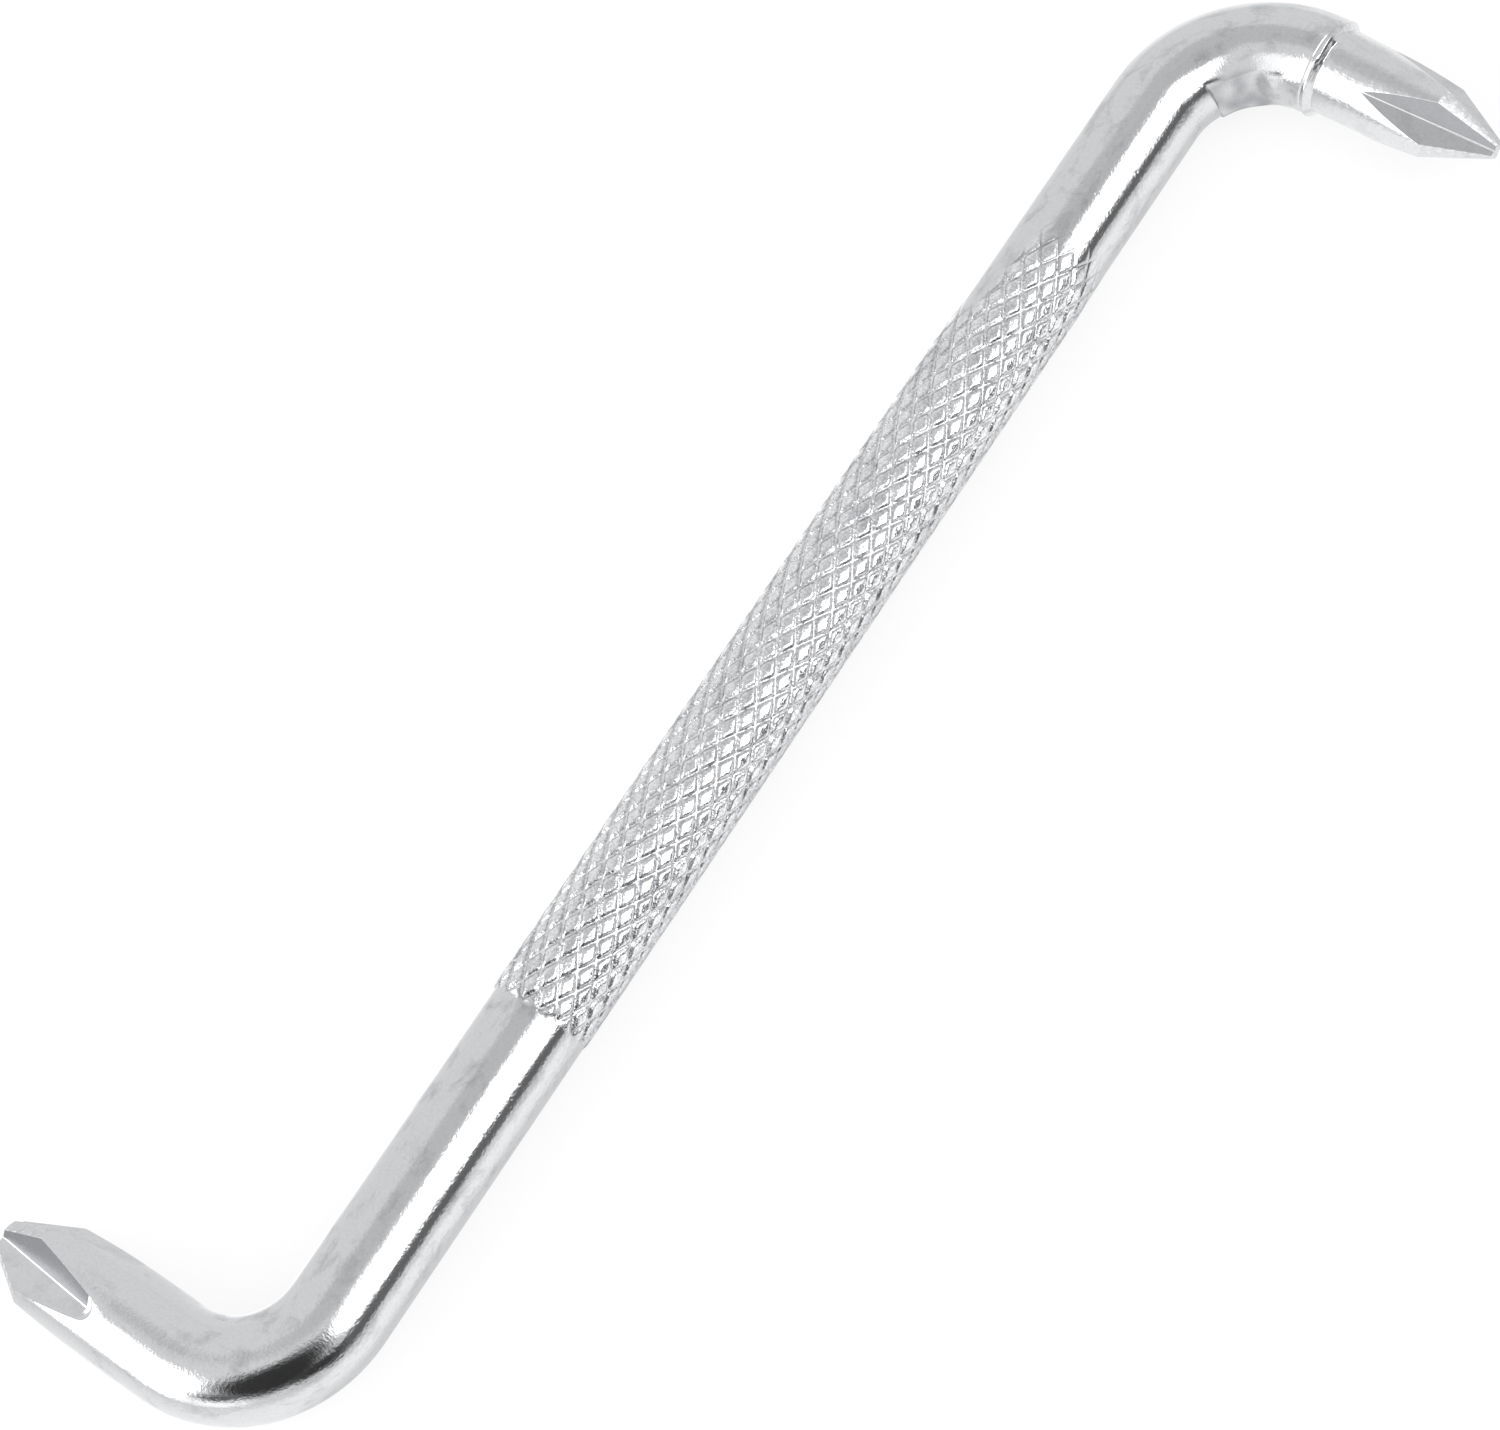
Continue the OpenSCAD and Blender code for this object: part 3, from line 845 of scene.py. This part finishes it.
def fluteCutter(settings, back, end, run):
    # the milling cutter's V with its rounded tooth, and the half cone of its round end if it has one
    depth = 2 * back
    half = depth * math.tan(math.radians(settings["fluteAngle"] / 2))
    shape = bmesh.new()
    corners = [shape.verts.new(point) for point in ((depth, half, -run), (depth, -half, -run))]
    reach = math.radians(90 - settings["fluteAngle"] / 2)
    middle = settings["root"] / math.cos(reach)
    for k in range(milling["rootSteps"] + 1):
        turn = reach * (2 * k / milling["rootSteps"] - 1)
        corners.append(shape.verts.new((middle - settings["root"] * math.cos(turn),
                                        settings["root"] * math.sin(turn), -run)))
    base = shape.faces.new(corners)
    grown = bmesh.ops.extrude_face_region(shape, geom=[base])
    top = [part for part in grown["geom"] if isinstance(part, bmesh.types.BMVert)]
    bmesh.ops.translate(shape, verts=top, vec=(0, 0, run + milling["beyond"]))
    bmesh.ops.recalc_face_normals(shape, faces=shape.faces)
    if end:
        cone = bmesh.ops.create_cone(shape, cap_ends=True, segments=milling["coneSides"], radius1=0,
                                     radius2=half, depth=depth)
        bmesh.ops.transform(shape, verts=cone["verts"], matrix=Matrix.Translation((depth / 2, 0, -run))
                            @ Matrix.Rotation(math.pi / 2, 4, "Y"))
    return shape


def makeTip(name, node, settings, back, place):
    length = settings["fluteLength"] + settings["land"]
    point = (settings["shoulder"] - settings["blunt"]) / math.tan(math.radians(settings["pointAngle"]))
    shape = lathe([(0, 0), (back, 0), (settings["shoulder"], length - point), (settings["blunt"], length),
                   (0, length)], bar["sides"])
    bmesh.ops.recalc_face_normals(shape, faces=shape.faces)
    blank = makeObject("blank", shape)

    # each cutter climbs out of the bar, or ends in its round end before it does
    end = settings.get("fluteEnd", 0)
    endRun = settings["fluteLength"] - end * math.tan(math.radians(settings["fluteAngle"] / 2))
    lean = math.atan((back - end - settings["core"]) / endRun)
    run = endRun / math.cos(lean) if end else 2 * length
    cutters = []
    for k in range(4):
        cutter = fluteCutter(settings, back, end, run)
        turn = math.radians(settings["turn"] + 45 + 90 * k)
        bmesh.ops.transform(cutter, verts=cutter.verts,
                            matrix=Matrix.Rotation(turn, 4, "Z")
                            @ Matrix.Translation((settings["core"], 0, length))
                            @ Matrix.Rotation(-lean, 4, "Y"))
        cutters.append(makeObject("cutter", cutter))
        cut = blank.modifiers.new("flute", "BOOLEAN")
        cut.operation = "DIFFERENCE"
        cut.solver = "EXACT"
        cut.use_self = True
        cut.object = cutters[-1]
    bpy.context.view_layer.update()
    cutMesh = blank.evaluated_get(bpy.context.evaluated_depsgraph_get()).to_mesh()
    shape = bmesh.new()
    shape.from_mesh(cutMesh)
    for spare in [blank, *cutters]:
        bpy.data.objects.remove(spare)

    # clean the cuts and wear the edges round
    bmesh.ops.remove_doubles(shape, verts=shape.verts, dist=milling["weld"])
    bmesh.ops.dissolve_limit(shape, angle_limit=math.radians(milling["flatAngle"]), verts=shape.verts,
                             edges=shape.edges)
    sharp = [edge for edge in shape.edges
             if edge.calc_face_angle(0) > math.radians(milling["edgeAngle"])
             and max(vert.co.z for vert in edge.verts) > settings["land"] / 2]
    bmesh.ops.bevel(shape, geom=sharp, offset=settings["edge"], segments=2, profile=0.5, affect="EDGES",
                    material=-1, clamp_overlap=True)

    # the flanks get a duller, darker plate, which on the darkest ones is painted shade, and the lathe
    # shows on what the cutters left
    dulledAndShaded = shape.faces.layers.float.new("dulledAndShaded")
    turned = shape.faces.layers.float.new("turned")
    slope = math.tan(math.radians(settings["pointAngle"]))
    share, deep = milling["cutDepth"]
    for face in shape.faces:
        middle = face.calc_center_median_weighted()
        across = Vector((middle.x, middle.y, 0))
        surface = min(back + (settings["shoulder"] - back) * middle.z / (length - point),
                      settings["shoulder"] - (middle.z - length + point) * slope)
        inside = across.length < surface * share - deep and abs(face.normal.z) < milling["cutTilt"]
        if inside and face.calc_area() > milling["flankArea"]:
            away = (math.degrees(math.atan2(middle.y, middle.x)) - settings["turn"]) % 360
            face[dulledAndShaded] = settings["dull"][int(away // 90)][int(away % 90 > 45)]
        if not inside:
            face[turned] = 1 if middle.z > length - point else settings["turned"]
    made = finishPiece(name, shape, node, place, material=pointed)
    even = made.modifiers.new("even_normals", "WEIGHTED_NORMAL")
    even.keep_sharp = True


# The upper arm leaves the bend's end at its angle. A turned frame keeps +X level,
# and the wings are turned from straight up
bent = math.radians(bends["upperAngle"])
armWay = Vector((math.sin(bent), math.cos(bent), 0))
bendEnd = Vector((shaftX + bends["upperRadius"] * (1 - math.cos(bent)),
                  shaftEnd + bends["upperRadius"] * math.sin(bent), shaftZ))
upward = Matrix.Rotation(math.pi / 2, 4, "Z")
makeStep(step, standing(bendEnd, armWay))

tipLength = upperTip["fluteLength"] + upperTip["land"]
pointLength = (upperTip["shoulder"] - upperTip["blunt"]) / math.tan(math.radians(upperTip["pointAngle"]))
straight = tipLength - pointLength
tipBack = (upperTip["shoulder"] + (neck["radius"] - upperTip["shoulder"])
           * straight / (straight + neck["length"]))
neckStart = bendEnd + armWay * step["length"]
cone = lathe([(0, 0), (neck["radius"], 0), (tipBack, neck["length"]), (0, neck["length"])], bar["sides"])
ticks = cone.faces.layers.float.new("turned")
for face in cone.faces:
    face[ticks] = upperTip["turned"]
finishPiece("tapered_neck", cone, "upper_neck", standing(neckStart, armWay), material=pointed)
makeTip("small_cross_point", "upper_tip", upperTip, tipBack,
        standing(neckStart + armWay * neck["length"], armWay) @ upward)
makeTip("large_cross_point", "lower_tip", lowerTip, bar["radius"],
        standing(Vector((armLow.x / mm, lowerCorner.y, shaftZ)), lowerArmWay) @ upward)
print("points milled")
